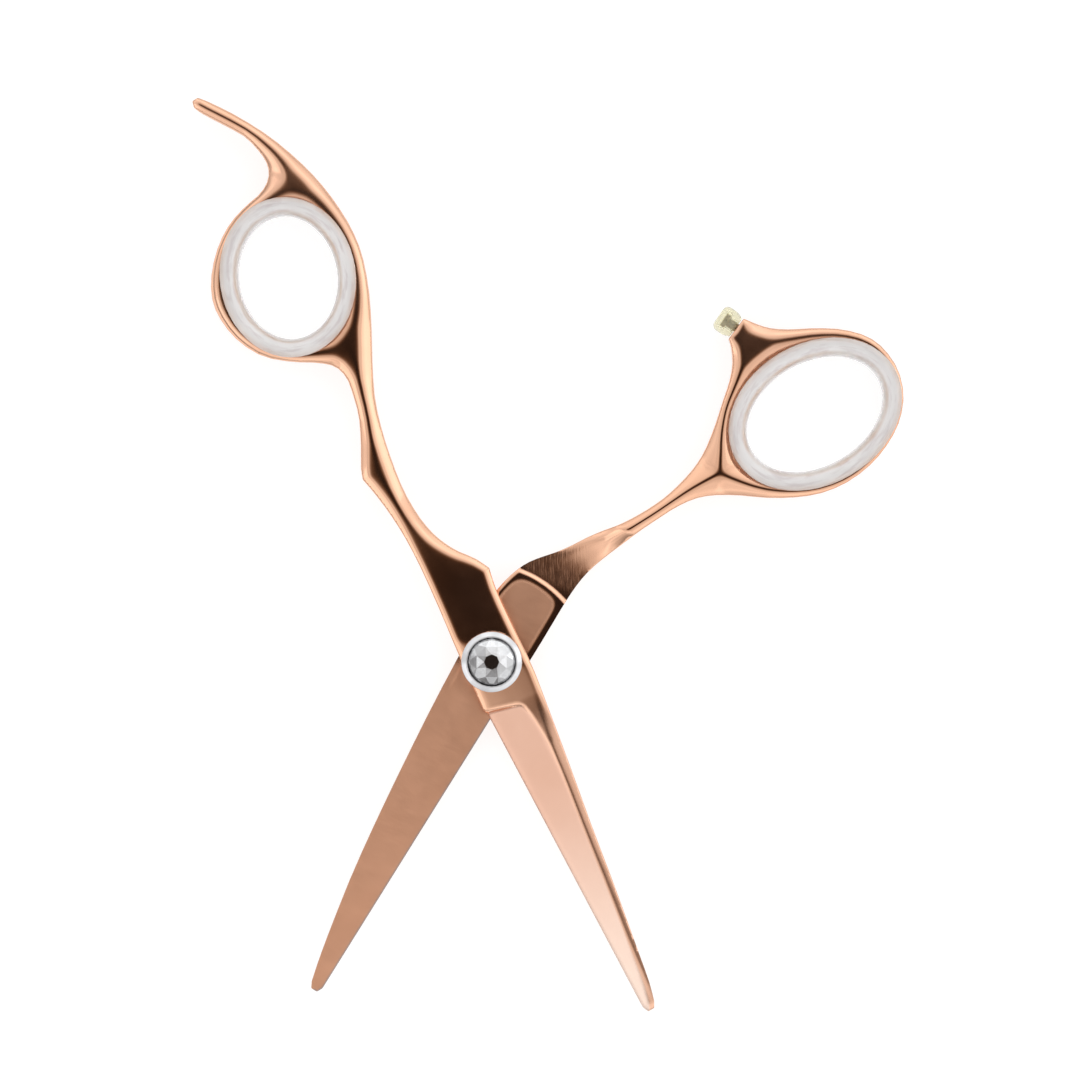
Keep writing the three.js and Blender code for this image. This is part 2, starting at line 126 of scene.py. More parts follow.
# ---- curves and fields ----
def slice_loops(node, to_row, level):
    """The closed outlines of a CAD node at one height of its half's frame, longest first, in (x, y)."""
    mesh = frame["nodes"][node].data
    mesh.calc_loop_triangles()
    back = to_row.inverted()
    co = [tuple(round(c / MM, 4) for c in back @ v.co) for v in mesh.vertices]
    links = {}
    for tri in mesh.loop_triangles:
        corners = [co[i] for i in tri.vertices]
        ends = []
        for a, b in ((0, 1), (1, 2), (2, 0)):
            low, high = sorted((corners[a], corners[b]))
            if (low[2] < level) != (high[2] < level):
                t = (level - low[2]) / (high[2] - low[2])
                ends.append(tuple(round(low[k] + t * (high[k] - low[k]), 3) for k in (0, 1)))
        if len(ends) == 2 and ends[0] != ends[1]:
            links.setdefault(ends[0], []).append(ends[1])
            links.setdefault(ends[1], []).append(ends[0])
    loops = []
    while links:
        start = min(links)
        loop, here = [start], start
        while here in links:
            onward = links[here]
            following = onward.pop()
            if not onward:
                del links[here]
            if following in links:
                links[following].remove(here)
                if not links[following]:
                    del links[following]
            here = following
            if here == start:
                break
            loop.append(here)
        if len(loop) > 5:
            loops.append(np.array(loop))
    return sorted(loops, key=lambda p: -np.ptp(p[:, 1]))


def area_of(loop):
    x, y = loop.T
    return 0.5 * float(np.sum(x * np.roll(y, -1) - np.roll(x, -1) * y))


def smoothed(loop, corner=math.radians(24), spacing=0.1):
    """The loop as a fine anticlockwise curve that is smooth except at its real corners."""
    if area_of(loop) < 0:
        loop = loop[::-1]
    keep = np.linalg.norm(loop - np.roll(loop, 1, 0), axis=1) > 0.02
    loop = loop[keep]
    before = loop - np.roll(loop, 1, 0)
    after = np.roll(loop, -1, 0) - loop
    cross = before[:, 0] * after[:, 1] - before[:, 1] * after[:, 0]
    turn = np.abs(np.arctan2(cross, np.sum(before * after, 1)))
    n = len(loop)
    fine = []
    for i in range(n):
        p1, p2 = loop[i], loop[(i + 1) % n]
        p0 = 2 * p1 - p2 if turn[i] > corner else loop[i - 1]
        p3 = 2 * p2 - p1 if turn[(i + 1) % n] > corner else loop[(i + 2) % n]
        length = np.linalg.norm(p2 - p1)
        count = max(1, int(length / spacing))
        d0, d2 = math.sqrt(np.linalg.norm(p1 - p0)), math.sqrt(np.linalg.norm(p3 - p2))
        d1 = math.sqrt(length)
        m1 = (p1 - p0) / d0 - (p2 - p0) / (d0 + d1) + (p2 - p1) / d1
        m2 = (p2 - p1) / d1 - (p3 - p1) / (d1 + d2) + (p3 - p2) / d2
        for s in np.arange(count) / count:
            h = (2 * s**3 - 3 * s**2 + 1, s**3 - 2 * s**2 + s, 3 * s**2 - 2 * s**3, s**3 - s**2)
            fine.append(h[0] * p1 + h[1] * d1 * m1 + h[2] * p2 + h[3] * d1 * m2)
    return np.array(fine)


def near(line, xs, ys, reach=6.0):
    """Distance from each grid point to an open line of points, up to reach."""
    best = np.full((len(ys), len(xs)), reach)
    for a, b in zip(line[:-1], line[1:]):
        i0, i1 = np.searchsorted(xs, (min(a[0], b[0]) - reach, max(a[0], b[0]) + reach))
        j0, j1 = np.searchsorted(ys, (min(a[1], b[1]) - reach, max(a[1], b[1]) + reach))
        gx, gy = xs[i0:i1][None, :] - a[0], ys[j0:j1][:, None] - a[1]
        d = b - a
        t = np.clip((gx * d[0] + gy * d[1]) / max(d @ d, 1e-12), 0, 1)
        part = best[j0:j1, i0:i1]
        np.minimum(part, np.hypot(gx - t * d[0], gy - t * d[1]), out=part)
    return best


def inside(loops, xs, ys):
    """True where a grid point is inside an odd number of loops."""
    result = np.zeros((len(ys), len(xs)), bool)
    for loop in loops:
        nxt = np.roll(loop, -1, 0)
        for j, y in enumerate(ys):
            hit = (loop[:, 1] <= y) != (nxt[:, 1] <= y)
            a, b = loop[hit], nxt[hit]
            cuts = a[:, 0] + (y - a[:, 1]) / (b[:, 1] - a[:, 1]) * (b[:, 0] - a[:, 0])
            result[j] ^= (np.searchsorted(np.sort(cuts), xs) % 2).astype(bool)
    return result


def blurred(field, sigma):
    """A Gaussian blur of a grid, sigma in millimetres."""
    radius = int(math.ceil(3 * sigma / STEP))
    kernel = np.exp(-0.5 * (np.arange(-radius, radius + 1) * STEP / sigma) ** 2)
    kernel /= kernel.sum()
    for axis in (0, 1):
        pad = [(0, 0), (0, 0)]
        pad[axis] = (radius, radius)
        wide = np.pad(field, pad, "edge")
        size = field.shape[axis]
        field = sum(k * wide.take(range(i, i + size), axis) for i, k in enumerate(kernel))
    return field


def sample(field, xs, ys, px, py):
    """Smooth cubic reading of a grid at any points."""
    u, v = (px - xs[0]) / STEP, (py - ys[0]) / STEP
    i = np.clip(u.astype(int), 1, len(xs) - 3)
    j = np.clip(v.astype(int), 1, len(ys) - 3)
    weights = []
    for t in (u - i, v - j):
        weights.append(
            (
                -0.5 * t + t**2 - 0.5 * t**3,
                1 - 2.5 * t**2 + 1.5 * t**3,
                0.5 * t + 2 * t**2 - 1.5 * t**3,
                -0.5 * t**2 + 0.5 * t**3,
            )
        )
    return sum(
        weights[1][b] * weights[0][a] * field[j + b - 1, i + a - 1] for a in range(4) for b in range(4)
    )


def ease(x, low, high):
    """0 below low, 1 above high, smooth between."""
    t = np.clip((x - low) / (high - low), 0, 1)
    return t * t * (3 - 2 * t)


def between(y, low, high, soft):
    return ease(y, low - soft, low + soft) * (1 - ease(y, high - soft, high + soft))


def bevel(distance, width, drop, power):
    return drop * np.clip(1 - distance / width, 0, 1.4) ** power


def box_centre(node):
    low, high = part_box(node)
    return (low + high) / 2


def in_stud_bore(loop, to_row):
    """True for the points of an outline that are on the small bore of the bumper's stud."""
    back = to_row.inverted()
    start, end = (np.array((back @ box_centre(n))[:2]) / MM for n in ("bumper_stud", "bumper"))
    along = (end - start) / np.linalg.norm(end - start)
    offset = loop - start
    across = np.abs(offset[:, 0] * along[1] - offset[:, 1] * along[0])
    return (across < STUD_BORE_R) & (np.hypot(*offset.T) < STUD_BORE_REACH)


# ---- the halves ----
class Half:
    """One steel half: its outline, the grid over it, and its two faces as heights over that grid."""

    def __init__(self, node, to_row, corners, widths):
        self.node, self.to_row = node, to_row
        loops = slice_loops(node, to_row, OUTLINE_LEVEL)
        self.outer = smoothed(loops[0][~in_stud_bore(loops[0], to_row)])
        self.hole = smoothed(max(loops[1:], key=lambda loop: abs(area_of(loop))))
        bore = [p for p in slice_loops(node, to_row, BORE_LEVEL) if np.abs(p).max() < 6]
        self.bore = smoothed(bore[0], corner=math.radians(30))
        low, high = self.outer.min(0) - 2, self.outer.max(0) + 2
        self.xs = np.arange(low[0], high[0], STEP)
        self.ys = np.arange(low[1], high[1], STEP)
        self.x, self.y = np.meshgrid(self.xs, self.ys)
        self.sides = self.split(corners)
        self.to_side = self.signed_distances()
        self.widths, self.most_share, self.least_flat = widths(self.y)
        self.measure_blade()
        self.top = self.outer_face()
        self.under = self.inner_face()

    def split(self, corners):
        """The outline cut into named sides at the points nearest to the corners, going anticlockwise."""
        start = [int(np.argmin(np.hypot(*(self.outer - point).T))) for _, point in corners]
        sides = {}
        for k, (name, _) in enumerate(corners):
            a, b = start[k], start[(k + 1) % len(corners)]
            index = np.arange(a, b + 1 if b > a else b + 1 + len(self.outer)) % len(self.outer)
            sides[name] = self.outer[index]
        sides["hole"] = np.vstack([self.hole, self.hole[:1]])
        return sides

    def signed_distances(self):
        """Distance to each side. It is negative outside the steel, for the nearest side only."""
        far = {name: near(line, self.xs, self.ys) for name, line in self.sides.items()}
        nearest = np.minimum.reduce(list(far.values()))
        steel = inside([self.outer, self.hole], self.xs, self.ys)
        return {name: np.where(~steel & (d <= nearest), -d, d) for name, d in far.items()}

    def measure_blade(self):
        """Where the cutting edge and the spine are at each height along the blade."""
        blade = self.outer[self.outer[:, 1] < 0]
        left, right = blade[blade[:, 0] < 0.2], blade[blade[:, 0] > 0.2]
        left, right = left[np.argsort(left[:, 1])], right[np.argsort(right[:, 1])]
        self.edge_x = np.interp(self.y, left[:, 1], left[:, 0])
        self.spine_x = np.interp(self.y, right[:, 1], right[:, 0])

    def bevels(self):
        """How far the rounded edges drop. They shrink where the half is narrow, to leave a flat between."""
        names = list(self.widths)
        far = np.stack([np.abs(self.to_side[n]) for n in names])
        wide = np.stack([self.widths[n][0] + 0 * self.x for n in names])
        order = np.argsort(far, 0)[:2]
        room = np.take_along_axis(far, order, 0).sum(0) - self.least_flat
        share = room / np.take_along_axis(wide, order, 0).sum(0)
        share = blurred(np.clip(share, 0.3, self.most_share), 0.5)
        drops = []
        for name in names:
            width, drop, power = self.widths[name]
            drops.append(bevel(self.to_side[name], width * share, drop * share, power))
        return np.maximum.reduce(drops)

    def crown(self):
        rim = np.minimum(self.to_side["spine"], self.to_side["edge"])
        strength = CROWN_LEFT + (1 - CROWN_LEFT) * ease(self.y, 18, 30)
        return bevel(np.minimum(rim, CROWN_REACH), CROWN_REACH, CROWN, 2) * strength

    def plate(self):
        """The outer face without its rounded edges: plate, handle, and the tilt in front of the screw."""
        level = HANDLE + (PLATE - HANDLE) * (1 - ease(self.y, PLATE_END, PLATE_END + PLATE_FADE))
        (start_x, start_y), (way_x, way_y) = TILT_START, TILT_WAY
        ahead = (way_y * (self.y - start_y) + way_x * (self.x - start_x)) / math.hypot(way_x, way_y)
        ahead = np.clip(ahead, 0, TILT_REACH)
        fall = np.where(ahead < TILT_SOFT, ahead**2 / (2 * TILT_SOFT), ahead - TILT_SOFT / 2)
        return level - TILT_SLOPE * fall

    def strip(self, ridge_x, width, ridge):
        """The strip along the spine, from the ridge at the ground face."""
        lean = STRIP_LEAN * np.clip(self.x - ridge_x, 0, width)
        rounded = np.minimum(width - 0.3, SPINE_ROUND)
        fall = SPINE_FALL - SPINE_FALL_LESS * ease(-self.y, *SPINE_SPAN)
        spine_drop = bevel(self.to_side["spine"], rounded, rounded * fall, CREASE_POWER)
        rise = STRIP_RISE * np.exp(np.minimum(self.y - STRIP_RISE_AT, 0) / STRIP_RISE_SOFT)
        return ridge + rise + lean - spine_drop

    def outer_face(self):
        x, y = self.x, self.y
        handle = blurred(self.plate() - self.bevels() - self.crown(), 0.3)
        width = STRIP_TIP + STRIP_GROWTH * (y - STRIP_TIP_Y) + FLARE * np.exp((y - FLARE_AT) / FLARE_SOFT)
        width = np.minimum(width, STRIP_MOST)
        ridge_x = self.spine_x - width
        rise = GRIND_RISE + (TIP_RISE - GRIND_RISE) * ease(-y, *GRIND_SPAN)
        across = x - self.edge_x
        ground = EDGE_LEFT + rise * across + EDGE_ROUND * (1 - np.exp(-np.clip(across, 0, 9) / EDGE_SOFT))
        strip = self.strip(ridge_x, width, EDGE_LEFT + EDGE_ROUND + rise * (ridge_x - self.edge_x))
        on_blade = 1 - ease(y, BLADE_FULL, BLADE_START)
        upper = handle * (1 - on_blade) + np.minimum(strip, handle + STRIP_OVER_PLATE) * on_blade
        bend = HEEL_BEND * np.clip(x - HEEL_BEND_AT, 0, 3) ** 2
        heel = HEEL_LEFT[1] + HEEL_SLOPE * (x - HEEL_LEFT[0]) - bend
        chamfer = CHAMFER_SLOPE * np.clip(HEEL_CHAMFER - (y - heel), 0, HEEL_CHAMFER)
        upper = upper - chamfer * (1 - ease(x, 0.4, 1.6))
        self.ground = ease(heel - y, -0.1, 0.22) * ease(ridge_x - x, -0.2, 0.25)
        face = upper * (1 - self.ground) + np.minimum(ground, upper) * self.ground
        return self.sink(blurred(face, 0.12))

    def sink(self, face):
        """The round recess on the outer face that takes the screw's washers, or the back nut."""
        r = np.hypot(self.x, self.y)
        radius, floor = (SEAT_R, SEAT_FLOOR) if self.node == "finger_half" else (NUT_R, NUT_FLOOR)
        return np.where(r < radius, np.minimum(face, floor), face)

    def inner_face(self):
        x, y = self.x, self.y
        t = np.clip((y - COVE_START) / (COVE_END - COVE_START), 0, 1)
        cove = COVE_RELIEF - (HANDLE + COVE_RELIEF) * t**COVE_POWER
        handle_side = ease(y, COVE_START + 3, COVE_END - 1)
        raised = blurred(np.maximum(cove, -HANDLE) + handle_side * self.bevels(), 0.3)
        # The step down to the cove is a slightly bowed line. The hollow has rounded corners and keeps off it.
        before_step = COVE_START + 0.25 + 0.03 * x - 0.03 * x**2 - y
        borders = (self.to_side["spine"], self.to_side["edge"], before_step)
        to_rim = -np.log(sum(np.exp(-HOLLOW_CORNER * d) for d in borders)) / HOLLOW_CORNER
        self.hollow = ease(to_rim, *HOLLOW_EDGE) * ease(y, *HOLLOW_SPAN)
        chamfer = CHAMFER_SLOPE * np.clip(PLATE_CHAMFER - self.to_side["spine"], 0, PLATE_CHAMFER)
        flat = RIDE + HOLLOW_DEPTH * self.hollow + chamfer * ease(y, 1, 6)
        step = ease(-before_step, -0.16, 0.2)
        face = blurred(flat * (1 - step) + raised * step, 0.12)
        if self.node == "finger_half":
            face = np.where(np.hypot(x, y) < BUSH_R, np.maximum(face, BUSH_CEILING), face)
        return face

    def plan(self):
        """The boundary-fitted grid: points (x, y), four-sided faces, and which points lie on the outline."""
        centre_x, centre_y = self.xs[:-1] + STEP / 2, self.ys[:-1] + STEP / 2
        cells = inside([self.outer, self.hole, self.bore], centre_x, centre_y)
        j, i = np.nonzero(cells)
        wide = len(self.xs)
        quads = np.stack([j * wide + i, j * wide + i + 1, (j + 1) * wide + i + 1, (j + 1) * wide + i], 1)
        used, quads = np.unique(quads, return_inverse=True)
        quads = quads.reshape(-1, 4)
        points = np.stack([self.x.ravel()[used], self.y.ravel()[used]], 1)
        edges = np.concatenate([quads[:, [k, (k + 1) % 4]] for k in range(4)])
        codes = edges[:, 0] * len(points) + edges[:, 1]
        back = edges[:, 1] * len(points) + edges[:, 0]
        rim = edges[~np.isin(codes, back)]
        on_rim = np.zeros(len(points), bool)
        on_rim[rim.ravel()] = True
        points = self.relaxed(points, edges, rim, on_rim)
        return points, quads, rim

    def relaxed(self, points, edges, rim, on_rim, rounds=12):
        """Puts the rim's points on the outline, and evens out the three rows of points beside it."""
        line = np.vstack([self.outer, self.hole, self.bore])
        tree = KDTree(len(line))
        for k, (px, py) in enumerate(line):
            tree.insert((px, py, 0), k)
        tree.balance()
        after = {}
        for a, b in rim:
            after.setdefault(int(b), []).append(int(a))
            after.setdefault(int(a), []).append(int(b))
        rim_points = np.flatnonzero(on_rim)
        beside = on_rim.copy()
        for _ in range(3):
            beside[edges[beside[edges[:, 0]], 1]] = True
        beside &= ~on_rim
        loops = [self.outer, self.hole, self.bore]
        starts = np.cumsum([0] + [len(p) for p in loops])

        def seated(p):
            _, k, _ = tree.find((p[0], p[1], 0))
            which = int(np.searchsorted(starts, k, "right")) - 1
            loop, k = loops[which], k - starts[which]
            best, found = None, None
            for a, b in ((loop[k - 1], loop[k]), (loop[k], loop[(k + 1) % len(loop)])):
                d = b - a
                t = min(max(float((p - a) @ d) / max(float(d @ d), 1e-12), 0), 1)
                q = a + t * d
                gap = float(np.hypot(*(p - q)))
                if best is None or gap < best:
                    best, found = gap, q
            return found

        for _ in range(rounds):
            moved = points.copy()
            for k in rim_points:
                around = after[int(k)]
                moved[k] = 0.5 * points[k] + 0.5 * points[around].mean(0) if len(around) == 2 else points[k]
                moved[k] = seated(moved[k])
            total = np.zeros_like(points)
            count = np.zeros(len(points))
            np.add.at(total, edges[:, 0], points[edges[:, 1]])
            np.add.at(count, edges[:, 0], 1)
            np.add.at(total, edges[:, 1], points[edges[:, 0]])
            np.add.at(count, edges[:, 1], 1)
            mean = total / count[:, None]
            moved[beside] = mean[beside]
            points = moved
        return points

    def height(self, field, points):
        return sample(field, self.xs, self.ys, points[:, 0], points[:, 1])

    def build(self, name, body, slot, material):
        points, quads, rim = self.plan()
        n = len(points)
        top, under = self.height(self.top, points), self.height(self.under, points)
        under = np.minimum(under, top - LEAST_THICKNESS)
        verts = np.vstack([np.column_stack([points, top]), np.column_stack([points, under])])
        faces = [tuple(q) for q in quads.tolist()] + [tuple(q[::-1]) for q in (quads + n).tolist()]
        faces += [(b, a, a + n, b + n) for a, b in rim.tolist()]
        piece = mesh_piece(name, verts * MM, faces, self.to_row)
        piece.data.set_sharp_from_angle(angle=SHARP_RIM)
        for key, (outer, inner) in self.finishes(points).items():
            paint(piece, key, np.concatenate([outer, inner]))
        finish_piece(piece, body, slot, material, self.node)

    def finishes(self, points):
        """How much of each surface finish the material shows, on the outer face and on the inner face, and
        where the ground face gets its painted highlight.
        """
        y, none = points[:, 1], np.zeros(len(points))
        ground = self.height(self.ground, points)
        rings = RING_SATIN * ease(y, *RING_SATIN_SPAN)
        blade_side = BLADE_SATIN + (TIP_SATIN - BLADE_SATIN) * ease(-self.y, *BLADE_SATIN_SPAN)
        inner = np.maximum(HOLLOW_SATIN * self.hollow, blade_side * (1 - ease(self.y, -4, 0)))
        brushed = between(self.y, COVE_START + 0.4, COVE_END - 5, 1.2)
        bare = np.clip(1.2 - self.height(self.to_side["edge"], points) / BARE_WIDTH, 0, 1) * (y < HEEL)
        return {
            "ground": (np.maximum(ground, STRIP_SATIN * ease(-y, *STRIP_SATIN_SPAN)) + rings, rings),
            # painted highlight: the ground face is painted paler towards the blade's tip
            "painted_sheen": (ground * SHEEN_MOST * ease(-y, *SHEEN_SPAN), none),
            "inner": (none, self.height(inner, points)),
            "brushed": (none, self.height(brushed, points)),
            "bare": (bare * BARE_OUTSIDE, bare),
        }


def edge_sizes(y, spine, edge):
    """Width and drop of the rounded edges along the spine and the edge side. They run out on the blade."""
    return {
        "spine": (spine, BEVEL_FALL * spine * ease(y, -16, -5), BEVEL_POWER),
        "edge": (edge, BEVEL_FALL * edge * ease(y, -8, -5), BEVEL_POWER),
    }


def finger_widths(y):
    """The finger half's rounded edges: width, drop and curve for each side. Also how far the widths may grow
    where there is room, and the flat that is left between two of them where there is not."""
    spine = 0.8 + 0.9 * ease(y, 12, 24) + 0.4 * between(y, 44, 78, 6)
    edge = 0.65 + 0.5 * ease(y, 20, 32) + 0.5 * ease(y, 48, 56) + 1.1 * between(y, 79, 89, 5)
    sizes = edge_sizes(y, spine, edge)
    width, drop, power = sizes["edge"]
    sizes["edge"] = (width, drop * (1 + 0.8 * between(y, 58, 81, 3)), power)
    sizes["hole"] = (2.2, 0.55, BEVEL_POWER)
    return sizes, 1 + 0.2 * between(y, 84, 96, 3), 0.7


def thumb_widths(y):
    """The same for the thumb half. Its neck has broad flat bevels that meet in narrow ridges."""
    neck, boss = between(y, 27, 49, 4), between(y, 56, 72, 4)
    power = BEVEL_POWER - 0.4 * neck
    spine, edge = 1.3 + 1.9 * neck, 1.3 + 1.6 * neck + 0.5 * boss
    sizes = {name: (width, drop, power) for name, (width, drop, _) in edge_sizes(y, spine, edge).items()}
    sizes["seat"] = (0.4, 0.3, BEVEL_POWER)
    sizes["hole"] = (3.6 - 0.9 * boss, 1.35 - 0.4 * boss, CREASE_POWER)
    return sizes, 1 + 0.5 * neck, 0.3 + 0.2 * boss


# ---- mesh helpers ----
def mesh_piece(name, verts, faces, place=Matrix.Identity(4)):
    mesh = bpy.data.meshes.new(name)
    mesh.from_pydata([tuple(place @ Vector(v)) for v in verts], [], faces)
    mesh.validate()
    mesh.shade_smooth()
    piece = bpy.data.objects.new(name, mesh)
    bpy.context.scene.collection.objects.link(piece)
    return piece


def paint(piece, name, values):
    attribute = piece.data.attributes.new(name, "FLOAT", "POINT")
    attribute.data.foreach_set("value", np.clip(values, 0, 1).astype(np.float32))


def finish_piece(piece, body, slot, material, *nodes):
    piece.data.materials.append(material)
    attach(piece, body)
    if nodes:
        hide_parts(*nodes)


def turned(name, outline, place, sides=128, sharp=35):
    """A closed ring of (radius, z) points in millimetres, turned about Z. A point on the axis is a pole."""
    verts, rings = [], []
    for r, z in outline:
        rings.append(len(verts))
        count = 1 if r == 0 else sides
        for k in range(count):
            angle = 2 * math.pi * k / sides
            verts.append((r * math.cos(angle) * MM, r * math.sin(angle) * MM, z * MM))
    faces = []
    for k, (r, _) in enumerate(outline):
        a, b = rings[k], rings[(k + 1) % len(outline)]
        next_r = outline[(k + 1) % len(outline)][0]
        if r == 0 and next_r == 0:
            continue
        for i in range(sides):
            j = (i + 1) % sides
            if r == 0:
                faces.append((a, b + j, b + i))
            elif next_r == 0:
                faces.append((a + i, a + j, b))
            else:
                faces.append((a + i, a + j, b + j, b + i))
    piece = mesh_piece(name, verts, faces, place)
    piece.data.set_sharp_from_angle(angle=math.radians(sharp))
    return piece


def arc(cx, cz, r, start, end, steps=6):
    angles = np.radians(np.linspace(start, end, steps))
    return [(cx + r * math.cos(a), cz + r * math.sin(a)) for a in angles]


# ---- materials ----
POLISHED_TONES = (0.82, 0.47, 0.31, 1), (0.87, 0.52, 0.36, 1)
GROUND_TONES = (0.75, 0.455, 0.335, 1), (0.78, 0.485, 0.365, 1)
SHEEN_TONE = (1.0, 0.86, 0.76, 1)  # painted highlight: the ground face's colour near its tip
INNER_TONES = (0.9, 0.49, 0.315, 1), (0.94, 0.525, 0.345, 1)
BARE_TONE = (0.5, 0.47, 0.49, 1)  # uncoated steel at the cutting edge
BRUSHED_WAY = math.radians(62)  # of the strokes in the cove, from the blade's length
STREAK_GREY = (0.79, 0.74, 0.75, 1)
SEEN_STEEL_TONE = (0.82, 0.58, 0.42, 1)  # painted see-through view: the steel's colour painted onto the silicone


class Look:
    """A Principled material with a few shorthands for its texture nodes."""

    def __init__(self, name, **values):
        self.material = bpy.data.materials.new(name)
        self.material.use_nodes = True
        self.nodes = self.material.node_tree.nodes
        self.links = self.material.node_tree.links
        self.shader = self.nodes["Principled BSDF"]
        for key, value in values.items():
            self.shader.inputs[key.replace("_", " ")].default_value = value

    def add(self, kind, inputs=(), **settings):
        node = self.nodes.new(kind)
        for key, value in settings.items():
            setattr(node, key, value)
        for key, value in dict(inputs).items():
            if isinstance(value, bpy.types.NodeSocket):
                self.links.new(value, node.inputs[key])
            else:
                node.inputs[key].default_value = value
        return node

    def place(self, turn=0.0, stretch=(1, 1, 1)):
        coords = self.add("ShaderNodeTexCoord").outputs["Object"]
        rotated = self.add("ShaderNodeMapping", {"Vector": coords, "Rotation": (0, 0, turn)}).outputs[0]
        return self.add("ShaderNodeMapping", {"Vector": rotated, "Scale": stretch}).outputs[0]

    def painted(self, key, output="Fac"):
        return self.add("ShaderNodeAttribute", attribute_name=key).outputs[output]

    def noise(self, where, scale, detail=3.0, roughness=0.55):
        inputs = {"Vector": where, "Scale": scale, "Detail": detail, "Roughness": roughness}
        return self.add("ShaderNodeTexNoise", inputs).outputs["Fac"]

    def remap(self, value, low, high, from_low=0.3, from_high=0.7):
        inputs = {"Value": value, "From Min": from_low, "From Max": from_high, "To Min": low, "To Max": high}
        return self.add("ShaderNodeMapRange", inputs).outputs[0]

    def math(self, operation, a, b):
        return self.add("ShaderNodeMath", {0: a, 1: b}, operation=operation).outputs[0]

    def blend(self, factor, a, b):
        node = self.add("ShaderNodeMix", data_type="RGBA")
        for socket, value in (("Factor", factor), ("A", a), ("B", b)):
            target = next(s for s in node.inputs if s.name == socket and s.type in ("RGBA", "VALUE")
                          and (s.type == "RGBA") == (socket != "Factor"))
            if isinstance(value, bpy.types.NodeSocket):
                self.links.new(value, target)
            else:
                target.default_value = value
        return next(s for s in node.outputs if s.type == "RGBA")

    def bump(self, height, distance, strength=1.0):
        node = self.add("ShaderNodeBump", {"Height": height, "Distance": distance, "Strength": strength})
        self.links.new(node.outputs[0], self.shader.inputs["Normal"])
        return node

    def drive(self, socket, value):
        self.links.new(value, self.shader.inputs[socket])


def rose_steel(name, turn):
    """Rose gold coated steel: polished, but satin, brushed or bare where the mesh says so. The ground face
    has a painted highlight towards its tip.
    """
    look = Look(name, Metallic=1.0)
    part = {key: look.painted(key) for key in ("ground", "painted_sheen", "inner", "brushed", "bare")}
    broad = look.remap(look.noise(look.place(), 90.0), 0, 1)
    polished = look.blend(broad, *POLISHED_TONES)
    # Painted highlight: the ground face's colour is blended towards a pale tone near its tip.
    ground = look.blend(part["painted_sheen"], look.blend(broad, *GROUND_TONES), SHEEN_TONE)
    inner = look.blend(broad, *INNER_TONES)
    colour = look.blend(part["ground"], polished, ground)
    colour = look.blend(part["inner"], colour, inner)
    look.drive("Base Color", look.blend(part["bare"], colour, BARE_TONE))
    smudge = look.remap(look.noise(look.place(), 260.0, 4.0), 0.08, 0.11)
    grain = look.noise(look.place(turn, (500, 9000, 500)), 1.0, 2.0)
    strokes = look.noise(look.place(turn + BRUSHED_WAY, (250, 7500, 250)), 1.0, 2.0)
    satin = look.math("ADD", part["ground"], part["inner"])
    rough = look.math("ADD", smudge, look.math("MULTIPLY", satin, look.remap(grain, 0.27, 0.31)))
    brushed = look.math("MULTIPLY", part["brushed"], look.remap(strokes, 0.02, 0.08))
    look.drive("Roughness", look.math("ADD", rough, brushed))
    grain_marks = look.math("MULTIPLY", satin, look.math("MULTIPLY", grain, 0.2))
    stroke_marks = look.math("MULTIPLY", part["brushed"], look.math("MULTIPLY", strokes, 0.6))
    look.bump(look.math("ADD", grain_marks, stroke_marks), 0.00006, 0.5)
    return look.material


def machined(name, colour, roughness, turned_about=(0, 0, 0)):
    """Metal with faint turning rings about an axis along Z."""
    look = Look(name, Metallic=1.0)
    coords = look.add("ShaderNodeTexCoord").outputs["Object"]
    centred = look.add("ShaderNodeVectorMath", {0: coords, 1: turned_about}, operation="SUBTRACT").outputs[0]
    rings = look.add("ShaderNodeTexWave", {"Vector": centred, "Scale": 2600.0, "Distortion": 1.5},
                     wave_type="RINGS", rings_direction="Z").outputs["Fac"]
    tone = look.noise(look.place(), 700.0)
    dark = (*(c * 0.9 for c in colour), 1)
    look.drive("Base Color", look.blend(look.remap(tone, 0, 1), dark, (*colour, 1)))
    look.drive("Roughness", look.remap(tone, roughness * 0.75, roughness * 1.3))
    look.bump(rings, 0.000006, 0.4)
    return look.material


def clear_rubber(name, tint, cloud, roughness, transmission, swept=False):
    """Cloudy translucent rubber, with faint mould marks. A swept piece has streaks along its sweep, and a
    painted see-through view of the steel, in the steel's colour, where its mesh says that steel shows
    through."""
    look = Look(name, Transmission_Weight=transmission, IOR=1.36)
    look.shader.inputs["Subsurface Weight"].default_value = 0.2
    look.shader.inputs["Subsurface Scale"].default_value = 0.002
    look.shader.inputs["Subsurface Radius"].default_value = (1.0, 0.95, 0.95)
    clouds = look.noise(look.place(), 150.0, 2.0)
    colour = look.blend(look.remap(clouds, 0, 1), (*cloud, 1), (*tint, 1))
    if swept:
        streaks = look.noise(look.painted("sweep", "Vector"), 1.0, 4.0)
        colour = look.blend(look.remap(streaks, 0.95, 0, 0.34, 0.52), colour, STREAK_GREY)
        # Painted see-through view of the steel.
        steel_view = look.math("MULTIPLY", look.painted("steel_seen_through"), look.remap(streaks, 1, 0.35))
        colour = look.blend(steel_view, colour, SEEN_STEEL_TONE)
    look.drive("Base Color", colour)
    look.drive("Roughness", look.remap(look.noise(look.place(), 300.0), roughness * 0.8, roughness * 1.3))
    look.bump(clouds, 0.0002, 0.12)
    return look.material


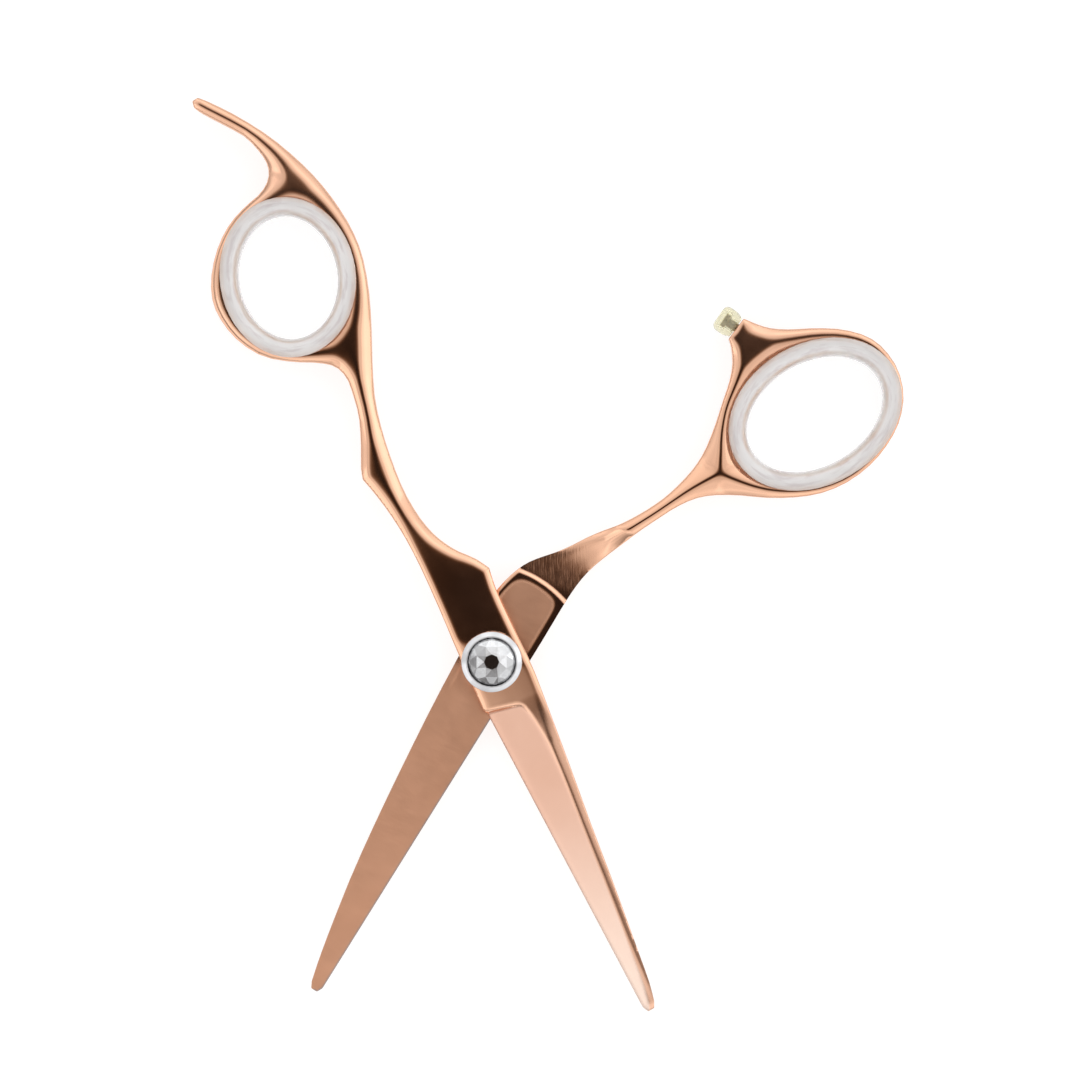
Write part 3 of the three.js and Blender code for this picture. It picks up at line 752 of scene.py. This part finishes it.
def cut_glass(name):
    """Clear glass that partly mirrors, as a foil-backed stone does. Each facet has painted shading and a
    painted reflection in its colour.
    """
    look = Look(name, Metallic=0.6, Transmission_Weight=1.0, IOR=1.56)
    haze = look.noise(look.place(), 900.0)
    # Painted shading and painted reflections of the facets, from dark to near white.
    shaded_facets = look.blend(look.painted("tone"), (0.16, 0.15, 0.15, 1), (0.97, 0.98, 1, 1))
    look.drive("Base Color", look.blend(look.remap(haze, 0, 0.15), shaded_facets, (0.9, 0.9, 0.9, 1)))
    look.drive("Roughness", look.remap(haze, 0.0, 0.02))
    return look.material


def dull_plastic(name, colour):
    look = Look(name)
    tone = look.noise(look.place(), 800.0)
    dark = (*(c * 0.92 for c in colour), 1)
    look.drive("Base Color", look.blend(look.remap(tone, 0, 1), dark, (*colour, 1)))
    look.drive("Roughness", look.remap(tone, 0.42, 0.6))
    look.bump(tone, 0.00003, 0.3)
    return look.material


STEEL_FINGER = rose_steel("rose_steel_finger", -FINGER_TURN)
STEEL_THUMB = rose_steel("rose_steel_thumb", -THUMB_TURN)
SILVER = machined("silver_rim", (0.7, 0.7, 0.72), 0.14)
PLAIN_STEEL = machined("plain_steel", (0.56, 0.56, 0.58), 0.26)
BRASS = machined("bush_brass", (0.78, 0.6, 0.26), 0.28)
NUT_STEEL = machined("nut_rose_steel", (0.80, 0.48, 0.34), 0.16)
FOIL = machined("foil", (0.8, 0.81, 0.84), 0.06)
SILICONE = clear_rubber("clear_silicone", (1.0, 0.995, 0.995), (0.9, 0.885, 0.885), 0.16, 0.36, swept=True)
BUMPER = clear_rubber("bumper_rubber", (0.96, 0.93, 0.74), (0.91, 0.87, 0.62), 0.18, 0.82)
PIN_STEEL = machined("stud_steel", (0.15, 0.1, 0.06), 0.3)
GLASS = cut_glass("crystal_glass")
NYLON = dull_plastic("nylon", (0.88, 0.87, 0.83))


# ---- steel ----
finger = Half("finger_half", FINGER_FRAME, [("spine", (0.6, -60.3)), ("edge", (-5.8, 99.9))], finger_widths)
finger.build("finger_blade_and_ring", "finger_side", "rose_steel", STEEL_FINGER)
thumb = Half(
    "thumb_half",
    THUMB_FRAME,
    [("spine", (0.4, -58.8)), ("seat", (-9.05, 62.3)), ("edge", (-9.65, 66.2))],
    thumb_widths,
)
thumb.build("thumb_blade_and_ring", "thumb_side", "rose_steel", STEEL_THUMB)


# ---- ring inserts ----
# Half of the sleeve's section, from its waist up: (distance outward from its bore, height).
INSERT_SECTION = [
    (0.0, 0.0), (0.03, 1.2), (0.12, 2.2), (0.3, 2.85), (0.6, 3.25), (1.0, 3.44), (1.5, 3.5), (2.1, 3.46),
    (2.55, 3.32), (2.83, 3.08), (2.93, 2.84), (2.88, 2.64), (2.7, 2.54), (2.2, 2.53), (1.74, 2.53),
    (1.72, 1.2),
]
INSERT_STEPS = 640
STREAK_ROUND, STREAK_ACROSS = 2.6, 1.7  # scale of the streaks' pattern: radius of its turn, and across it
OUTER_SEEN_STEEL, INNER_SEEN_STEEL = 2.75, 0.5  # where the painted see-through view of the steel lies on the flange


def ring_insert(name, node, to_row, body):
    """A flanged sleeve: one section carried round the bore of the CAD ring."""
    loops = slice_loops(node, to_row, 0.2)
    bore = smoothed(min(loops, key=lambda p: abs(area_of(p))), spacing=0.05)
    closed = np.vstack([bore, bore[:1]])
    along = np.concatenate([[0], np.cumsum(np.linalg.norm(np.diff(closed, axis=0), axis=1))])
    at = np.linspace(0, along[-1], INSERT_STEPS, endpoint=False)
    line = np.stack([np.interp(at, along, closed[:, k]) for k in (0, 1)], 1)
    ahead = np.roll(line, -2, 0) - np.roll(line, 2, 0)
    ahead /= np.linalg.norm(ahead, axis=1)[:, None]
    outward = np.stack([ahead[:, 1], -ahead[:, 0]], 1)
    section = INSERT_SECTION + [(n, -z) for n, z in INSERT_SECTION[:0:-1]]
    verts = [(*(line[k] + n * outward[k]), z) for k in range(INSERT_STEPS) for n, z in section]
    size = len(section)
    faces = []
    for k in range(INSERT_STEPS):
        for s in range(size):
            a, b = k * size, ((k + 1) % INSERT_STEPS) * size
            faces.append((a + s, a + (s + 1) % size, b + (s + 1) % size, b + s))
    piece = mesh_piece(name, np.array(verts) * MM, faces, to_row)
    # The streaks' pattern turns once round the ring, so it is drawn out along it.
    angle = 2 * math.pi * np.arange(INSERT_STEPS)[:, None] / INSERT_STEPS
    n, z = np.array(section).T
    flat = np.zeros((INSERT_STEPS, size))
    sweep = np.stack([
        STREAK_ROUND * np.cos(angle) + flat,
        STREAK_ROUND * np.sin(angle) + flat,
        STREAK_ACROSS * (n + 0.8 * z) + flat,
    ], -1)
    pattern = piece.data.attributes.new("sweep", "FLOAT_VECTOR", "POINT")
    pattern.data.foreach_set("vector", sweep.astype(np.float32).ravel())
    # Painted see-through view of the steel, stronger on the sides of the ring that face along X.
    steel_view = 0.8 * np.exp(-(((n - OUTER_SEEN_STEEL) / 0.25) ** 2)) + np.exp(-(((n - INNER_SEEN_STEEL) / 0.24) ** 2))
    paint(piece, "steel_seen_through", (steel_view * (0.35 + 0.65 * np.abs(outward[:, :1]))).ravel())
    finish_piece(piece, body, "clear_silicone", SILICONE, node)


ring_insert("finger_insert", "finger_ring_insert", FINGER_FRAME, "finger_side")
ring_insert("thumb_insert", "thumb_ring_insert", THUMB_FRAME, "thumb_side")


# ---- bumper ----
BUMPER_LENGTH, BUMPER_R, BUMPER_ROUND = 3.3, 2.15, 0.95
bumper_axis = (box_centre("bumper") - box_centre("bumper_stud")).normalized()
bumper_place = (
    Matrix.Translation(box_centre("bumper") - bumper_axis * BUMPER_LENGTH / 2 * MM)
    @ bumper_axis.to_track_quat("Z", "Y").to_matrix().to_4x4()
)
bumper_outline = [
    (0.78, 0.0), (1.5, 0.0), *arc(1.5, 0.35, 0.35, -90, -10, 5), (2.02, 0.7), (2.12, 1.1), (BUMPER_R, 1.5),
    (BUMPER_R, 1.95), *arc(BUMPER_R - BUMPER_ROUND, BUMPER_LENGTH - BUMPER_ROUND, BUMPER_ROUND, 0, 90, 10),
    (0.6, BUMPER_LENGTH), (0, BUMPER_LENGTH), (0, 2.38), (1.18, 2.38), (1.18, 1.52), (0.78, 1.52),
]
barrel = turned("bumper_barrel", bumper_outline, bumper_place, 72)
finish_piece(barrel, "thumb_side", "bumper_rubber", BUMPER, "bumper")
stud_outline = [
    (0, -2.4), (0.6, -2.4), (0.7, -2.3), (0.7, 1.6), (1.0, 1.6), (1.1, 1.7), (1.1, 2.1),
    *arc(0.9, 2.1, 0.2, 0, 90, 4), (0, 2.3),
]
pin = turned("bumper_pin", stud_outline, bumper_place, 48)
finish_piece(pin, "thumb_side", "plain_steel", PIN_STEEL, "bumper_stud")

# ---- screw ----
BEZEL_R, BEZEL_LOW, BEZEL_FLOOR = 4.75, 3.3, 4.0
bezel_outline = [
    (3.58, BEZEL_LOW), (4.4, BEZEL_LOW), *arc(4.45, 3.6, 0.3, -90, 0, 5), (BEZEL_R, 4.6),
    *arc(4.6, 4.72, 0.15, 0, 62, 6), (4.35, 5.02), (4.1, 5.17), (3.98, 5.23), (3.9, 5.22), (3.83, 5.13),
    (3.8, 4.98), (3.84, 4.86), (4.0, 4.78), (4.0, BEZEL_FLOOR), (0, BEZEL_FLOOR), (0, 3.83), (3.58, 3.83),
]
rim = turned("screw_bezel", bezel_outline, TO_PIVOT, 160, 50)
finish_piece(rim, "screw", "silver_rim", SILVER, "bezel")

# The stone's rings of corners from the foil up: how many, radius, height, and turn as a share of one step.
STONE_RINGS = [
    (32, 3.8, 4.22, 0), (32, 3.93, 4.34, 0), (32, 3.93, 4.62, 0), (32, 3.4, 4.97, 0.5), (8, 2.55, 5.42, 0.5),
    (8, 1.2, 5.84, 0),
]
# Painted shading of the facets: mean brightness, how much lighter towards the light side, and a random spread
# for painted reflections.
STONE_SHADE, STONE_SHADE_LEAN, STONE_SHADE_SPREAD = 0.66, 0.42, 0.34
STONE_LIGHT_SIDE = Vector((0.55, 0.8))


def jewel():
    """A flat-backed round stone with an eight-sided table. Each slanted facet is painted lighter on the side
    towards the light, with a random painted reflection.
    """
    stone = bmesh.new()
    for count, r, z, shift in STONE_RINGS:
        for k in range(count):
            angle = 2 * math.pi * (k + shift) / count
            stone.verts.new(TO_PIVOT @ Vector((r * math.cos(angle) * MM, r * math.sin(angle) * MM, z * MM)))
    bmesh.ops.convex_hull(stone, input=stone.verts)
    bmesh.ops.dissolve_limit(stone, angle_limit=math.radians(0.5), verts=stone.verts, edges=stone.edges)
    mesh = bpy.data.meshes.new("cut_stone")
    stone.to_mesh(mesh)
    stone.free()
    facet_shading = mesh.attributes.new("tone", "FLOAT", "FACE")
    draw = random.Random(7)
    for face in mesh.polygons:
        # Painted light: facets facing the light side are lighter, and each gets a random painted reflection.
        toward_light = Vector(face.normal[:2]).normalized().dot(STONE_LIGHT_SIDE)
        bright = STONE_SHADE + STONE_SHADE_LEAN * toward_light
        bright += draw.uniform(-STONE_SHADE_SPREAD, STONE_SHADE_SPREAD)
        facet_shading.data[face.index].value = min(max(bright, 0.05), 1) if 0.3 < face.normal.z < 0.995 else 1.0
    piece = bpy.data.objects.new("cut_stone", mesh)
    bpy.context.scene.collection.objects.link(piece)
    finish_piece(piece, "screw", "crystal_glass", GLASS, "crystal")


jewel()

# ---- back nut ----
NUT_LOW = -PIVOT_Z / MM
SPANNER_HOLE_R, SPANNER_HOLE_OFF, SPANNER_HOLE_DEEP = 0.45, 2.6, 0.5


def back_nut():
    """The flat nut on the underside, with its two spanner holes."""
    outline = [
        (0, NUT_LOW), (3.9, NUT_LOW), *arc(3.95, NUT_LOW + 0.25, 0.25, -90, 0, 5), (4.2, -2.7), (3.1, -2.7),
        (3.1, -0.35), (1.81, -0.35), (1.81, -2.65), (0, -2.65),
    ]
    nut = turned("nut_back", outline, TO_PIVOT, 128)
    turn = Matrix.Rotation(THUMB_TURN, 4, "Z")
    low, deep = NUT_LOW - SPANNER_HOLE_DEEP, NUT_LOW + SPANNER_HOLE_DEEP
    hole = [(0, low), (SPANNER_HOLE_R, low), (SPANNER_HOLE_R, deep), (0, deep + 0.1)]
    for side in (-1, 1):
        place = TO_PIVOT @ turn @ Matrix.Translation((SPANNER_HOLE_OFF * side * MM, 0, 0))
        cutter = turned("cutter", hole, place, 32)
        cut = nut.modifiers.new("hole", "BOOLEAN")
        cut.object, cut.solver = cutter, "EXACT"
        nut.data = bpy.data.meshes.new_from_object(nut.evaluated_get(bpy.context.evaluated_depsgraph_get()))
        nut.modifiers.clear()
        bpy.data.objects.remove(cutter)
    finish_piece(nut, "thumb_side", "rose_steel", NUT_STEEL, "back_nut")


back_nut()

# ---- hidden CAD pieces that stay as they are ----
for node, material in (
    ("tension_screw", PLAIN_STEEL),
    ("wave_spring", PLAIN_STEEL),
    ("thrust_washer", NYLON),
    ("pivot_bush", BRASS),
    ("crystal_foil", FOIL),
):
    kept = frame["nodes"][node]
    kept.data.materials.clear()
    kept.data.materials.append(material)

# ---- table and light ----
TABLE_SIZE, TABLE_GAP = 6.0, 0.00003  # the gap keeps the nut's flat face clear of the table
TABLE_TONES = (0.3, 0.3, 0.3, 1), (0.31, 0.31, 0.31, 1)
TABLE_GLOW = 0.78  # so that the table is as white as in the photo
bpy.ops.mesh.primitive_plane_add(size=TABLE_SIZE, location=(0, 0, -TABLE_GAP))
table = bpy.context.object
table.name = "table"
paper = Look("paper", Roughness=0.9, Emission_Color=(1, 1, 1, 1), Emission_Strength=TABLE_GLOW)
paper_tone = paper.noise(paper.place(), 30.0)
paper.drive("Base Color", paper.blend(paper.remap(paper_tone, 0, 1), *TABLE_TONES))
table.data.materials.append(paper.material)


# The light that comes from each direction, by degrees from straight overhead.
DOME = [
    (0, (0.022, 0.015, 0.012)),
    (5, (0.04, 0.025, 0.017)),
    (8, (0.12, 0.072, 0.044)),
    (12, (0.3, 0.24, 0.2)),
    (18, (0.78, 0.75, 0.72)),
    (32, (0.98, 0.97, 0.96)),
    (50, (1.25, 1.25, 1.25)),
    (66, (1.05, 1.05, 1.05)),
    (80, (0.6, 0.59, 0.58)),
    (90, (0.32, 0.31, 0.3)),
]
LIGHT_SIDE = (0.86, 0.5, 0.0)
SIDE_GAIN = 0.2
PATCH_SCALE, PATCH_FROM, PATCH_TO = 2.2, (0.35, 0.65), (0.84, 1.16)  # uneven light on the dome
LAMP_AIM = Vector((0, 0.02, 0))


def studio():
    """A bright dome with a dark opening straight overhead, which flat polished faces mirror."""
    world = bpy.data.worlds.new("studio")
    bpy.context.scene.world = world
    world.use_nodes = True
    nodes, links = world.node_tree.nodes, world.node_tree.links
    direction = nodes.new("ShaderNodeTexCoord").outputs["Generated"]
    up = nodes.new("ShaderNodeSeparateXYZ")
    links.new(direction, up.inputs[0])
    ramp = nodes.new("ShaderNodeValToRGB")
    links.new(up.outputs["Z"], ramp.inputs["Fac"])
    elements = ramp.color_ramp.elements
    while len(elements) < len(DOME):
        elements.new(0.5)
    for element, (off_zenith, colour) in zip(elements, reversed(DOME)):
        element.position = math.cos(math.radians(off_zenith))
        element.color = (*colour, 1)
    # One side of the room is lighter than the other, and uneven.
    side = nodes.new("ShaderNodeVectorMath")
    side.operation = "DOT_PRODUCT"
    side.inputs[1].default_value = LIGHT_SIDE
    links.new(direction, side.inputs[0])
    patches = nodes.new("ShaderNodeTexNoise")
    patches.inputs["Scale"].default_value = PATCH_SCALE
    links.new(direction, patches.inputs["Vector"])
    uneven = nodes.new("ShaderNodeMapRange")
    uneven.inputs["From Min"].default_value, uneven.inputs["From Max"].default_value = PATCH_FROM
    uneven.inputs["To Min"].default_value, uneven.inputs["To Max"].default_value = PATCH_TO
    links.new(patches.outputs["Fac"], uneven.inputs["Value"])
    strength = nodes.new("ShaderNodeMath")
    strength.operation = "MULTIPLY_ADD"
    links.new(side.outputs["Value"], strength.inputs[0])
    strength.inputs[1].default_value = SIDE_GAIN
    links.new(uneven.outputs[0], strength.inputs[2])
    background = nodes["Background"]
    links.new(ramp.outputs["Color"], background.inputs["Color"])
    links.new(strength.outputs[0], background.inputs["Strength"])


def soft_light(name, place, size, power):
    data = bpy.data.lights.new(name, "AREA")
    data.shape, data.size, data.size_y = "RECTANGLE", *size
    data.energy = power
    lamp = bpy.data.objects.new(name, data)
    lamp.location = place
    lamp.rotation_euler = (LAMP_AIM - Vector(place)).to_track_quat("-Z", "Y").to_euler()
    bpy.context.scene.collection.objects.link(lamp)


studio()
soft_light("left_box", (-0.92, -0.42, 0.85), (0.8, 0.8), 0.75)
soft_light("right_box", (0.95, 0.25, 0.75), (0.6, 0.8), 0.45)
bpy.context.scene.view_settings.view_transform = "Standard"
